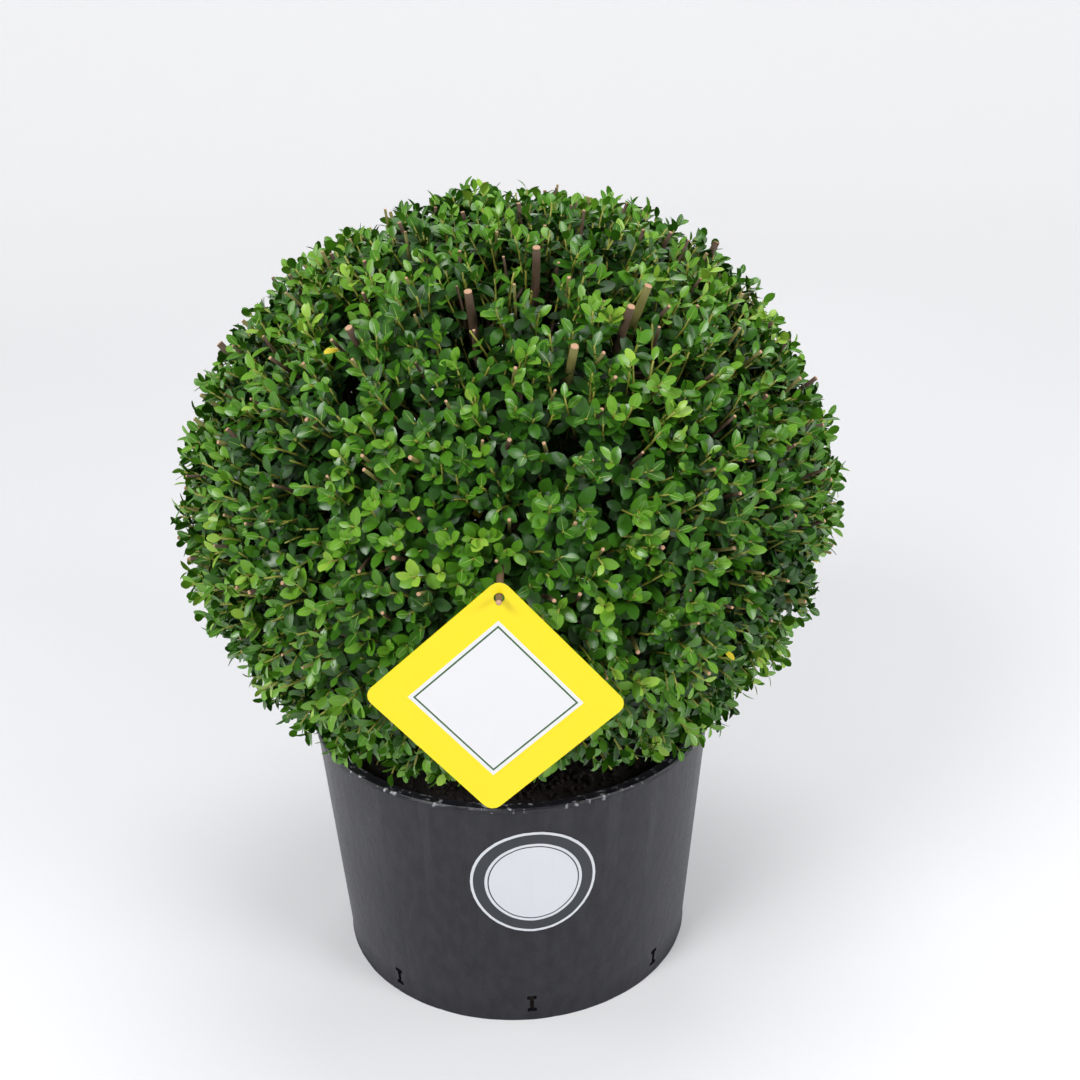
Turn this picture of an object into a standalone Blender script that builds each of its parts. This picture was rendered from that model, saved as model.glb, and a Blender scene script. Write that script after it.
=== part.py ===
import math
import random

import bmesh
import bpy
from mathutils import Matrix, Vector

# Japanese holly clipped to a globe, in a nursery container.
# Metres, +Z up. The origin is the middle of the container's flat underside, and -Y is the front.

# Container
POT_HEIGHT = 0.256
RIM_RADIUS = 0.200
FOOT_RADIUS = 0.180
POT_WALL = 0.003
POT_FLOOR = 0.004
POT_SIDES = 64
LIP_WIDTH = 0.015  # the lip is turned inwards
LIP_HEM = 0.007  # and hemmed downwards
MOULD_LINE = 0.0012  # how far the edges of rim and foot stand out
SLOT_COUNT = 8
SLOT_WIDTH = 0.009
SLOT_BOTTOM = 0.010
SLOT_TOP = 0.030
SLOT_TURN = math.radians(5)  # from the front to the first drain slot

# Soil
SOIL_TOP = 0.234
SOIL_SEAT = 0.045  # flat middle that the trunk stands on

# Trunk and boughs
TRUNK_TOP = 0.420
TRUNK_RADII = (0.031, 0.024, 0.0205, 0.019, 0.0175, 0.0155, 0.0125)
TRUNK_LEAN = Vector((0.012, 0.006, 0))
BOUGH_COUNT = 7
BOUGH_LOW = 0.272
BOUGH_HIGH = 0.368
BOUGH_BASE_RADIUS = 0.0095
BOUGH_TIP_RADIUS = 0.0055

# Clipped crown: an oval of revolution, flatter below than above
CROWN_CENTRE = Vector((0.004, 0.0, 0.472))
CROWN_RADIUS = 0.312
CROWN_UP = 0.300
CROWN_DOWN = 0.270
UNDERSIDE = 0.312  # where the dense part of the crown ends
LUMP_COUNT = 16
LUMP_HEIGHT = 0.009
LUMP_WIDTH = math.radians(24)
LEAF_LAYER = 0.038  # from the clipped outline in to the dense core
CORE_BUMP = 0.009  # how uneven the dense core is
HOLLOW_RADIUS = 0.195  # bare space among the boughs
HOLLOW_UP = 0.185
HOLLOW_DOWN = 0.262
DOME_SIDES = 36

# Shoots and leaves, drawn larger than life
SHOOT_COUNT = 118
SHOOT_RADIUS = 0.0028
SHOOT_SINK = 0.014
SHOOT_REACH = 0.016  # from the core to the tip of the twig
LEAF_LENGTH = 0.054
LEAF_WIDTH = 0.036
LEAF_THICK = 0.0024
LEAF_RISE = (14, 26, 38, 62)  # degrees from square to the twig, lowest leaf first
LEAF_SIZE = (1.08, 1.0, 0.92, 0.72)
LEAF_SPACING = 0.0045
STUB_RADIUS = 0.0045
LOWEST_LEAF = 0.272
SKIRT_LIFT = 0.050  # the foliage ends higher at the front right
SKIRT_FACING = math.radians(-68)
SKIRT_SPREAD = math.radians(34)

# Thick cut stubs seen from the front, as turn from the front, height angle and length
STUBS = (
    (-8, 52, 0.050), (11, 60, 0.062), (14, 40, 0.058), (29, 46, 0.054), (36, 49, 0.056),
    (-33, 43, 0.052), (95, 50, 0.054), (160, 38, 0.052), (-140, 55, 0.056), (-85, 30, 0.052),
)

# Hang tag on its twig, and the round label
TAG_SIDE = 0.140
TAG_THICK = 0.0008
TAG_CORNER = 0.009
TAG_HOLE_RADIUS = 0.0040
TAG_HOLE_DROP = 0.0155  # from the top corner's point to the hole
TAG_FRONT = -0.3220
TAG_SWING = math.radians(3.3)
PEG_RADIUS = 0.0023
PEG_PLACE = Vector((0.001, TAG_FRONT, 0.5205))
PEG_REACH = 0.011
LABEL_RADIUS = 0.058
LABEL_THICK = 0.0004
LABEL_HEIGHT = 0.171
LABEL_TURN = math.radians(6)

GAP = 0.0003
SEED = 12


def point_at(radius, angle, z):
    return Vector((radius * math.cos(angle), radius * math.sin(angle), z))


def clear_scene():
    for item in list(bpy.data.objects):
        bpy.data.objects.remove(item, do_unlink=True)


def new_object(name, verts, faces, collection=None):
    mesh = bpy.data.meshes.new(name)
    mesh.from_pydata([tuple(v) for v in verts], [], faces)
    obj = bpy.data.objects.new(name, mesh)
    (collection or bpy.context.scene.collection).objects.link(obj)
    return obj


def face_outwards(obj):
    shape = bmesh.new()
    shape.from_mesh(obj.data)
    bmesh.ops.recalc_face_normals(shape, faces=shape.faces)
    shape.to_mesh(obj.data)
    shape.free()


def paint(obj, colour, roughness, metallic=0.0):
    material = bpy.data.materials.new(obj.name)
    material.use_nodes = True
    shader = material.node_tree.nodes["Principled BSDF"]
    shader.inputs["Base Color"].default_value = (*colour, 1)
    shader.inputs["Roughness"].default_value = roughness
    shader.inputs["Metallic"].default_value = metallic
    obj.data.materials.clear()
    obj.data.materials.append(material)


def make_guide(obj):
    obj.hide_render = True
    obj.display_type = "WIRE"
    return obj


def add_boolean(obj, operation, guide):
    cut = obj.modifiers.new(guide.name, "BOOLEAN")
    cut.operation = operation
    cut.object = guide
    cut.solver = "EXACT"


def shade_round(obj, angle=40):
    obj.data.shade_smooth()
    obj.data.set_sharp_from_angle(angle=math.radians(angle))


def bridge_rings(rings, closed=True):
    """Quads between rings of equal length; the ends are fanned shut if closed."""
    sides = len(rings[0])
    verts = [v for ring in rings for v in ring]
    faces = []
    for row in range(len(rings) - 1):
        a, b = row * sides, (row + 1) * sides
        for i in range(sides):
            j = (i + 1) % sides
            faces.append((a + i, a + j, b + j, b + i))
    if closed:
        faces.append(tuple(reversed(range(sides))))
        last = (len(rings) - 1) * sides
        faces.append(tuple(range(last, last + sides)))
    return verts, faces


def turned_solid(name, profile, sides=POT_SIDES):
    """Turns a profile of (radius, height) pairs about +Z. Its ends lie on the axis."""
    rings = [[point_at(r, 2 * math.pi * i / sides, z) for i in range(sides)] for r, z in profile[1:-1]]
    verts, faces = bridge_rings(rings, closed=False)
    for end, row in ((0, 0), (-1, len(rings) - 1)):
        middle = len(verts)
        verts.append(Vector((0, 0, profile[end][1])))
        for i in range(sides):
            faces.append((middle, row * sides + i, row * sides + (i + 1) % sides))
    obj = new_object(name, verts, faces)
    face_outwards(obj)
    return obj


def wall_radius(z):
    """Outer radius of the container's tapering wall."""
    top = RIM_RADIUS - MOULD_LINE
    low = FOOT_RADIUS - MOULD_LINE
    return low + (top - low) * z / POT_HEIGHT


def make_pot():
    rim, top = RIM_RADIUS, POT_HEIGHT
    lip, hem = rim - LIP_WIDTH, top - 0.003 - LIP_HEM
    profile = [
        (0, 0),
        (FOOT_RADIUS, 0),
        (FOOT_RADIUS, 0.0025),
        (wall_radius(0.004), 0.004),
        (wall_radius(top - 0.006), top - 0.006),
        (rim, top - 0.0045),
        (rim, top - 0.0015),
        (rim - 0.0015, top),
        (rim - 0.008, top - 0.0006),
        (lip + 0.0015, top - 0.0025),
        (lip, top - 0.0055),
        (lip, hem),
        (lip + 0.0025, hem),
        (lip + 0.0030, top - 0.0060),
        (wall_radius(top) - POT_WALL, top - 0.0038),
        (wall_radius(POT_FLOOR) - POT_WALL, POT_FLOOR),
        (0, POT_FLOOR),
    ]
    pot = turned_solid("pot", profile)
    cutters = bmesh.new()
    for i in range(SLOT_COUNT):
        turn = -math.pi / 2 + SLOT_TURN + 2 * math.pi * i / SLOT_COUNT
        place = Matrix.Translation(point_at(FOOT_RADIUS, turn, (SLOT_BOTTOM + SLOT_TOP) / 2))
        place = place @ Matrix.Rotation(turn, 4, "Z")
        size = Matrix.Diagonal((POT_WALL * 6, SLOT_WIDTH, SLOT_TOP - SLOT_BOTTOM, 1))
        bmesh.ops.create_cube(cutters, size=1, matrix=place @ size)
    mesh = bpy.data.meshes.new("slot_cutters")
    cutters.to_mesh(mesh)
    cutters.free()
    guide = bpy.data.objects.new("slot_cutters", mesh)
    bpy.context.scene.collection.objects.link(guide)
    add_boolean(pot, "DIFFERENCE", make_guide(guide))
    shade_round(pot)
    paint(pot, (0.020, 0.021, 0.025), 0.38)


def make_soil():
    inner = wall_radius(POT_FLOOR) - POT_WALL - GAP * 2
    edge = wall_radius(SOIL_TOP) - POT_WALL - GAP * 2
    floor = POT_FLOOR + GAP
    profile = [
        (0, floor),
        (inner, floor),
        (edge, SOIL_TOP - 0.006),
        (edge * 0.80, SOIL_TOP - 0.002),
        (edge * 0.55, SOIL_TOP - 0.004),
        (SOIL_SEAT, SOIL_TOP),
        (0, SOIL_TOP),
    ]
    soil = turned_solid("soil", profile)
    shade_round(soil)
    paint(soil, (0.035, 0.022, 0.014), 0.95)


def tube(name, path, radii, sides, collection=None, side=Vector((1, 0, 0))):
    """A limb of round section along a path, with flat ends. Its first corner faces side."""
    rings = []
    for i, centre in enumerate(path):
        ahead = (path[min(i + 1, len(path) - 1)] - path[max(i - 1, 0)]).normalized()
        side = (side - ahead * side.dot(ahead)).normalized()
        other = ahead.cross(side)
        angles = (2 * math.pi * k / sides for k in range(sides))
        rings.append([centre + (side * math.cos(a) + other * math.sin(a)) * radii[i] for a in angles])
    obj = new_object(name, *bridge_rings(rings), collection)
    face_outwards(obj)
    return obj


def trunk_centre(z):
    share = (z - SOIL_TOP) / (TRUNK_TOP - SOIL_TOP)
    return TRUNK_LEAN * math.sin(share * math.pi / 2) + Vector((0, 0, z))


def trunk_tube(name, extra):
    """The trunk, or with extra a sleeve that stands clear of it and reaches past both its ends."""
    path, radii = [], []
    last = len(TRUNK_RADII) - 1
    for i, radius in enumerate(TRUNK_RADII):
        z = SOIL_TOP + GAP + (TRUNK_TOP - SOIL_TOP - GAP) * (i / last) ** 1.25
        path.append(trunk_centre(z))
        radii.append(radius + extra)
    if extra:
        path[-1] = path[-1] + Vector((0, 0, extra))
    trunk = tube(name, path, radii, 12)
    for vert in trunk.data.vertices:
        if vert.index < 12:
            vert.co.z = path[0].z
        elif vert.index >= 12 * last:
            vert.co.z = path[-1].z
    return trunk


def crown_lumps():
    """Seeded low swellings and dips of the clipped outline, as (direction, height) pairs."""
    draw = random.Random(SEED)
    lumps = []
    for i in range(LUMP_COUNT):
        up = 1 - 1.7 * (i + 0.5) / LUMP_COUNT
        turn = i * math.pi * (3 - math.sqrt(5)) + draw.uniform(-0.3, 0.3)
        flat = math.sqrt(1 - up * up)
        way = Vector((flat * math.cos(turn), flat * math.sin(turn), up))
        lumps.append((way, draw.uniform(-LUMP_HEIGHT, LUMP_HEIGHT * 0.6)))
    return lumps


def lump_height(way, lumps):
    return sum(h * math.exp(-((way.angle(centre) / LUMP_WIDTH) ** 2)) for centre, h in lumps)


def oval_point(way, radius, up, down):
    return CROWN_CENTRE + Vector((radius * way.x, radius * way.y, (up if way.z > 0 else down) * way.z))


def crown_point(way, depth, lumps):
    """The point a given depth inside the clipped outline, in the direction way."""
    out = lump_height(way, lumps) - depth
    return oval_point(way, CROWN_RADIUS + out, CROWN_UP + out, CROWN_DOWN + out)


def crown_normal(way):
    half = CROWN_UP if way.z > 0 else CROWN_DOWN
    return Vector((way.x / CROWN_RADIUS, way.y / CROWN_RADIUS, way.z / half)).normalized()


def dome(point, rows, down):
    """Rings of a dome from its top down to the underside; down is its lower half height."""
    end = math.acos((UNDERSIDE - CROWN_CENTRE.z) / down)
    rings = []
    for row in range(1, rows + 1):
        polar = end * row / rows
        turns = (2 * math.pi * i / DOME_SIDES for i in range(DOME_SIDES))
        rings.append([point(point_at(math.sin(polar), a, math.cos(polar))) for a in turns])
    return rings


def hollow_dome(clear):
    """Rings and top point of the bare space inside the crown, less a clearance."""
    radius, up = HOLLOW_RADIUS - clear, HOLLOW_UP - clear
    rings = dome(lambda way: oval_point(way, radius, up, HOLLOW_DOWN), 5, HOLLOW_DOWN)
    return rings, CROWN_CENTRE + Vector((0, 0, up))


def cap(verts, faces, row, top):
    """Closes ring number row with a fan to the point top."""
    verts.append(top)
    for i in range(DOME_SIDES):
        faces.append((len(verts) - 1, row * DOME_SIDES + i, row * DOME_SIDES + (i + 1) % DOME_SIDES))


def make_hollow(name, clear):
    """Guide solid: the bare space inside the crown, reaching down below the underside."""
    rings, top = hollow_dome(clear)
    rings.append([Vector((v.x, v.y, SOIL_TOP)) for v in rings[-1]])
    verts, faces = bridge_rings(rings, closed=False)
    cap(verts, faces, 0, top)
    faces.append(tuple(range((len(rings) - 1) * DOME_SIDES, len(rings) * DOME_SIDES)))
    obj = new_object(name, verts, faces)
    face_outwards(obj)
    return make_guide(obj)


def make_trunk():
    trunk = trunk_tube("trunk", 0)
    shade_round(trunk, 60)
    paint(trunk, (0.115, 0.085, 0.060), 0.85)


def bough_path(index, draw):
    """A bough leaves the trunk at a rising height and turn, then bends upwards."""
    share = index / (BOUGH_COUNT - 1)
    start = trunk_centre(BOUGH_LOW + (BOUGH_HIGH - BOUGH_LOW) * share)
    turn = index * math.pi * (3 - math.sqrt(5)) + draw.uniform(-0.15, 0.15)
    rise = math.radians(8 + 44 * share)
    out = point_at(math.cos(rise), turn, math.sin(rise))
    end = oval_point(out, HOLLOW_RADIUS, HOLLOW_UP, HOLLOW_DOWN) + out * 0.03
    knee = start.lerp(end, 0.45) - Vector((0, 0, 0.022)) + out * 0.012
    path = []
    for i in range(9):
        t = i / 8
        path.append(start * (1 - t) ** 2 + knee * 2 * t * (1 - t) + end * t * t)
    return path


def make_boughs():
    draw = random.Random(SEED + 1)
    sleeve = make_guide(trunk_tube("trunk_sleeve", GAP * 1.5))
    hollow = make_hollow("bough_space", GAP * 1.5)
    for index in range(BOUGH_COUNT):
        path = bough_path(index, draw)
        drop = (BOUGH_BASE_RADIUS - BOUGH_TIP_RADIUS) / (len(path) - 1)
        radii = [BOUGH_BASE_RADIUS - drop * i for i in range(len(path))]
        bough = tube(f"bough_{index + 1}", path, radii, 8)
        add_boolean(bough, "INTERSECT", hollow)
        add_boolean(bough, "DIFFERENCE", sleeve)
        shade_round(bough, 60)
        paint(bough, (0.105, 0.075, 0.052), 0.85)


def leaf_solid(root, along, top, size, collection):
    """A leaf of 6 faces: a flat blade from root to tip, over a low keel."""
    across = along.cross(top).normalized()
    top = across.cross(along).normalized()
    length, width = LEAF_LENGTH * size, LEAF_WIDTH * size
    belly = root + along * length * 0.56
    verts = [
        root,
        belly + across * width / 2,
        root + along * length,
        belly - across * width / 2,
        root + along * length * 0.45 - top * LEAF_THICK,
    ]
    faces = [(0, 1, 3), (1, 2, 3)] + [((i + 1) % 4, i, 4) for i in range(4)]
    obj = new_object("leaf", verts, faces, collection)
    face_outwards(obj)


def lowest_at(place):
    """The height below which no foliage hangs, higher at the front right."""
    facing = math.atan2(place.y, place.x) - SKIRT_FACING
    facing = (facing + math.pi) % (2 * math.pi) - math.pi
    return LOWEST_LEAF + SKIRT_LIFT * math.exp(-((facing / SKIRT_SPREAD) ** 2))


def keeps_clear(points):
    """False where a leaf or shoot would leave the crown's space or reach the pot or the tag."""
    for p in points:
        if p.z < lowest_at(p):
            return False
        if p.y < TAG_FRONT + 0.006 and abs(p.x) < 0.115 and 0.32 < p.z < 0.55:
            return False
    return True


def within(along, top, root, size):
    across = along.cross(top).normalized()
    tip = root + along * LEAF_LENGTH * size
    belly = root + along * LEAF_LENGTH * size * 0.56
    return [tip, belly + across * LEAF_WIDTH * size / 2, belly - across * LEAF_WIDTH * size / 2]


def add_leaf(root, along, top, size, lumps, collection):
    """Adds a leaf if it keeps clear and stays inside the clipped outline, with a small allowance."""
    corners = within(along, top, root, size)
    if not keeps_clear(corners):
        return
    tip = corners[0]
    way = (tip - CROWN_CENTRE).normalized()
    outline = (crown_point(way, 0, lumps) - CROWN_CENTRE).length
    if (tip - CROWN_CENTRE).length > outline + 0.010:
        return
    leaf_solid(root - along * 0.0012, along, top, size, collection)


def add_shoot(way, lumps, draw, collection):
    """One shoot from the core: a three-sided twig with a side twig and a spray of leaves."""
    normal = crown_normal(way)
    sway = Vector((draw.uniform(-1, 1), draw.uniform(-1, 1), draw.uniform(-0.6, 1)))
    ahead = (normal + Vector((0, 0, 0.28)) + sway * 0.30).normalized()
    root = crown_point(way, LEAF_LAYER + SHOOT_SINK, lumps)
    reach = SHOOT_SINK + SHOOT_REACH * draw.uniform(0.75, 1.25)
    tip = root + ahead * reach
    if not keeps_clear([tip]):
        return
    side = Matrix.Rotation(draw.uniform(0, 2 * math.pi), 3, ahead) @ ahead.orthogonal().normalized()
    tube("shoot", [root, tip], [SHOOT_RADIUS, SHOOT_RADIUS * 0.75], 3, collection, side)
    for k, rise in enumerate(LEAF_RISE):
        out = Matrix.Rotation((2 * k + 1) * math.pi / 3, 3, ahead) @ side
        lift = math.radians(rise + draw.uniform(-8, 8))
        along = out * math.cos(lift) + ahead * math.sin(lift)
        place = tip - ahead * (LEAF_SPACING * (len(LEAF_RISE) - 1 - k) + 0.003)
        size = LEAF_SIZE[k] * draw.uniform(0.92, 1.08)
        add_leaf(place, along, ahead, size, lumps, collection)


def stub_way(turn, rise):
    flat = math.cos(math.radians(rise))
    angle = math.radians(turn) - math.pi / 2
    return point_at(flat, angle, math.sin(math.radians(rise)))


def add_stubs(lumps, collection):
    for turn, rise, length in STUBS:
        way = stub_way(turn, rise)
        root = crown_point(way, LEAF_LAYER + SHOOT_SINK, lumps)
        ahead = (crown_normal(way) + Vector((0, 0, 0.5))).normalized()
        tube("stub", [root, root + ahead * length], [STUB_RADIUS, STUB_RADIUS * 0.85], 6, collection)


def add_peg(lumps, collection):
    """The cut twig that carries the tag. It passes straight through the tag's hole."""
    root = PEG_PLACE + Vector((0, LEAF_LAYER + SHOOT_SINK + 0.010, 0))
    tube("peg", [root, PEG_PLACE - Vector((0, PEG_REACH, 0))], [PEG_RADIUS * 1.3, PEG_RADIUS], 8, collection)


def make_core(lumps):
    """The dense part of the crown: a thick dome, open below round the boughs."""
    draw = random.Random(SEED + 3)
    outer = dome(
        lambda way: crown_point(way, LEAF_LAYER + draw.uniform(-CORE_BUMP, CORE_BUMP), lumps),
        15, CROWN_DOWN - LEAF_LAYER,
    )
    inner, inner_top = hollow_dome(0)
    rings = outer + inner[::-1]
    verts, faces = bridge_rings(rings, closed=False)
    cap(verts, faces, 0, crown_point(Vector((0, 0, 1)), LEAF_LAYER, lumps))
    cap(verts, faces, len(rings) - 1, inner_top)
    core = new_object("crown", verts, faces)
    face_outwards(core)
    return core


def make_crown():
    draw = random.Random(SEED + 2)
    lumps = crown_lumps()
    core = make_core(lumps)
    sprays = bpy.data.collections.new("sprays")
    bpy.context.scene.collection.children.link(sprays)
    foot = trunk_centre(TRUNK_TOP) + Vector((0, 0, GAP))
    head = CROWN_CENTRE + Vector((0, 0, HOLLOW_UP + 0.02))
    stem = tube("stem", [foot, foot.lerp(head, 0.5), head], [TRUNK_RADII[-1] * 0.9, 0.008, 0.006], 8, sprays)
    for vert in stem.data.vertices:
        if vert.index < 8:
            vert.co.z = foot.z
    low = (UNDERSIDE - CROWN_CENTRE.z) / (CROWN_DOWN - LEAF_LAYER)
    for i in range(SHOOT_COUNT):
        up = 1 - (1 - low) * (i + 0.5) / SHOOT_COUNT
        turn = i * math.pi * (3 - math.sqrt(5)) + draw.uniform(-0.06, 0.06)
        way = point_at(math.sqrt(1 - up * up), turn, up)
        add_shoot(way, lumps, draw, sprays)
    add_stubs(lumps, sprays)
    add_peg(lumps, sprays)
    join = core.modifiers.new("join", "BOOLEAN")
    join.operation = "UNION"
    join.operand_type = "COLLECTION"
    join.collection = sprays
    join.solver = "MANIFOLD"
    bpy.context.view_layer.objects.active = core
    bpy.ops.object.modifier_apply(modifier=join.name)
    for obj in list(sprays.objects):
        bpy.data.objects.remove(obj, do_unlink=True)
    bpy.data.collections.remove(sprays)
    paint(core, (0.045, 0.120, 0.030), 0.45)


def make_tag():
    """A square card standing on its corner, with round corners and a hole at the top one."""
    half, arc = TAG_SIDE / 2, 4
    outline = []
    for corner in range(4):
        middle = Matrix.Rotation(corner * math.pi / 2, 2) @ Vector((half - TAG_CORNER, half - TAG_CORNER))
        for k in range(arc + 1):
            angle = corner * math.pi / 2 + k * math.pi / 2 / arc
            outline.append(middle + Vector((math.cos(angle), math.sin(angle))) * TAG_CORNER)
    rings = [[Vector((p.x, p.y, side * TAG_THICK / 2)) for p in outline] for side in (-1, 1)]
    tag = new_object("hang_tag", *bridge_rings(rings))
    top_corner = TAG_SIDE / math.sqrt(2)
    rest = TAG_HOLE_RADIUS * math.cos(math.pi / 24) - PEG_RADIUS - GAP * 1.3
    stand = Matrix.Rotation(math.pi / 2, 4, "X") @ Matrix.Rotation(math.pi / 4, 4, "Z")
    hang = Matrix.Translation(PEG_PLACE - Vector((0, 0, rest))) @ Matrix.Rotation(TAG_SWING, 4, "Y")
    place = hang @ Matrix.Translation((0, 0, TAG_HOLE_DROP - top_corner)) @ stand
    tag.data.transform(place)
    face_outwards(tag)
    hole = bpy.ops.mesh.primitive_cylinder_add
    hole(vertices=24, radius=TAG_HOLE_RADIUS, depth=0.01, location=PEG_PLACE - Vector((0, 0, rest)),
         rotation=(math.pi / 2, 0, 0))
    cutter = bpy.context.object
    cutter.name = "tag_hole"
    add_boolean(tag, "DIFFERENCE", make_guide(cutter))
    paint(tag, (0.86, 0.86, 0.84), 0.35)


def make_label():
    """A thin round patch that follows the container's wall."""
    turn = -math.pi / 2 + LABEL_TURN
    centre = point_at(wall_radius(LABEL_HEIGHT), turn, LABEL_HEIGHT)
    facing = Vector((math.cos(turn), math.sin(turn), 0)).to_track_quat("Z", "Y")
    bpy.ops.mesh.primitive_cylinder_add(
        vertices=40, radius=LABEL_RADIUS, depth=0.06, location=centre, rotation=facing.to_euler()
    )
    label = bpy.context.object
    label.name = "pot_label"

    def shell(name, out):
        low, high = LABEL_HEIGHT - 0.1, LABEL_HEIGHT + 0.075
        profile = [(0, low), (wall_radius(low) + out, low), (wall_radius(high) + out, high), (0, high)]
        return make_guide(turned_solid(name, profile))

    add_boolean(label, "INTERSECT", shell("label_outer", GAP + LABEL_THICK))
    add_boolean(label, "DIFFERENCE", shell("label_inner", GAP))
    paint(label, (0.80, 0.81, 0.82), 0.40)


def main():
    clear_scene()
    make_pot()
    make_soil()
    make_trunk()
    make_boughs()
    make_crown()
    make_tag()
    make_label()


main()
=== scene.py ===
import itertools
import math
import random

import bpy
import numpy as np
from mathutils import Matrix, Vector


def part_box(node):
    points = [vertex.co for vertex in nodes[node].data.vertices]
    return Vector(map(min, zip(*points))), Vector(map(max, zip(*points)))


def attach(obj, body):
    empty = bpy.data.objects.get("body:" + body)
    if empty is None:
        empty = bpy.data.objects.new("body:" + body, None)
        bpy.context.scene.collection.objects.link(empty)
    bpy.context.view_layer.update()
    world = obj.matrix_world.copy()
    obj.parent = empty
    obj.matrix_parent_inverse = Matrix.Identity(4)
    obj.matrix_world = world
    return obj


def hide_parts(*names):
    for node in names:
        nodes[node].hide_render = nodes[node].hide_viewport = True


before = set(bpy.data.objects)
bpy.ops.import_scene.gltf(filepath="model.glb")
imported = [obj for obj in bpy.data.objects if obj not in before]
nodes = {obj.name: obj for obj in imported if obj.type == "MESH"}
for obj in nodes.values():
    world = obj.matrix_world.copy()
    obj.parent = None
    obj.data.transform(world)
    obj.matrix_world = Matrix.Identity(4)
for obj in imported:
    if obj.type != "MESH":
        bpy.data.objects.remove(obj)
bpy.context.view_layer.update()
seed = 12  # the same as the CAD source's, so that the crown's lumps agree
goldenTurn = math.pi * (3 - math.sqrt(5))
chance = np.random.default_rng(seed)
up = np.array([0.0, 0.0, 1.0])
skew = np.array([0.31, 0.52, 0.79])  # each tube's first side is square to this
anyPhase = 7  # radians, a little more than a full turn

# Camera, as the photograph was taken: angles in degrees, focal length and frame in pixels
view = {"place": (0.0310, -1.1682, 0.9140), "pitch": 22.50, "roll": -0.976, "focal": 1300, "frame": 1080,
        "sensor": 36}
lens = bpy.data.cameras.new("photoCamera")
lens.sensor_width = view["sensor"]
lens.lens = view["focal"] / view["frame"] * view["sensor"]
camera = bpy.data.objects.new("photoCamera", lens)
bpy.context.scene.collection.objects.link(camera)
pitch = Matrix.Rotation(math.radians(90 - view["pitch"]), 4, "X")
aim = pitch @ Matrix.Rotation(math.radians(view["roll"]), 4, "Z")
camera.matrix_world = Matrix.Translation(view["place"]) @ aim
bpy.context.scene.camera = camera


def unit(v):
    return v / np.maximum(np.linalg.norm(v, axis=-1, keepdims=True), 1e-9)


def spread(low, high, *shape):
    return chance.uniform(low, high, shape)


def play(most, *shape):  # either way by as much as this
    return spread(-most, most, *shape)


def turnsOf(sides):
    return np.arange(sides) * 2 * math.pi / sides


def curvePoint(root, knee, tip, t):  # sets out from the root towards the knee, and ends at the tip
    return root * (1 - t) ** 2 + knee * 2 * t * (1 - t) + tip * t ** 2


def bend(root, knee, tip, rings):  # many such curves, each with this many points
    return curvePoint(root[:, None], knee[:, None], tip[:, None], np.linspace(0, 1, rings)[None, :, None])


def keepPiece(obj, slotName, *replaced):
    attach(obj, "root")
    if replaced:
        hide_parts(*replaced)


def dressNode(name, material):  # a CAD node that stays, in a better material
    nodes[name].data.materials.clear()
    nodes[name].data.materials.append(material)


def tiledPiece(name, verts, polygons, material):  # the same polygons on each row of verts
    copies, points = verts.shape[:2]
    corners = np.concatenate([np.array(p) for p in polygons])
    sizes = np.array([len(p) for p in polygons])
    starts = np.concatenate([[0], np.cumsum(sizes)[:-1]])
    mesh = bpy.data.meshes.new(name)
    mesh.vertices.add(copies * points)
    mesh.vertices.foreach_set("co", verts.astype(np.float32).ravel())
    mesh.loops.add(copies * len(corners))
    shift = np.arange(copies)[:, None]
    mesh.loops.foreach_set("vertex_index", (corners + shift * points).astype(np.int32).ravel())
    mesh.polygons.add(copies * len(sizes))
    mesh.polygons.foreach_set("loop_start", (starts + shift * len(corners)).astype(np.int32).ravel())
    mesh.update(calc_edges=True)
    mesh.shade_smooth()
    mesh.materials.append(material)
    obj = bpy.data.objects.new(name, mesh)
    bpy.context.scene.collection.objects.link(obj)
    return obj


def tubePolygons(rings, sides):
    polygons = [tuple(reversed(range(sides)))]
    for row in range(rings - 1):
        a, b = row * sides, (row + 1) * sides
        for i in range(sides):
            j = (i + 1) % sides
            polygons.append((a + i, a + j, b + j, b + i))
    polygons.append(tuple(range((rings - 1) * sides, rings * sides)))
    return polygons


def tubePoints(paths, radii, sides):  # paths: copies x rings x 3, radii: copies x rings, or x sides too
    ahead = unit(np.gradient(paths, axis=1))
    start = unit(np.cross(ahead[:, :1], skew))
    side = unit(start - ahead * np.sum(start * ahead, axis=-1, keepdims=True))
    other = np.cross(ahead, side)
    turns = turnsOf(sides)[:, None]
    out = side[:, :, None] * np.cos(turns) + other[:, :, None] * np.sin(turns)
    if radii.ndim == 2:
        radii = radii[:, :, None]
    points = paths[:, :, None] + out * radii[..., None]
    return points.reshape(len(paths), -1, 3)


def tubePiece(name, paths, radii, sides, material):
    return tiledPiece(name, tubePoints(paths, radii, sides), tubePolygons(paths.shape[1], sides), material)


# Materials
grain = {"finer": 5.3, "fineShare": 0.45, "relief": 0.001, "span": (0.3, 0.7)}


def addNode(tree, kind, **values):  # a value sets the socket of its name, or else the node's own setting
    node = tree.nodes.new(kind)
    for key, value in values.items():
        if key in node.inputs:
            node.inputs[key].default_value = value
        else:
            setattr(node, key, value)
    return node


def calculate(tree, operation, *terms):  # a Math node on sockets and plain numbers
    node = addNode(tree, "ShaderNodeMath", operation=operation)
    for socket, term in zip(node.inputs, terms):
        if isinstance(term, (int, float)):
            socket.default_value = term
        else:
            tree.links.new(term, socket)
    return node.outputs[0]


def mapRange(tree, source, span, result, **values):
    node = addNode(tree, "ShaderNodeMapRange", **values)
    node.inputs["From Min"].default_value, node.inputs["From Max"].default_value = span
    node.inputs["To Min"].default_value, node.inputs["To Max"].default_value = result
    tree.links.new(source, node.inputs["Value"])
    return node.outputs[0]


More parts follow.
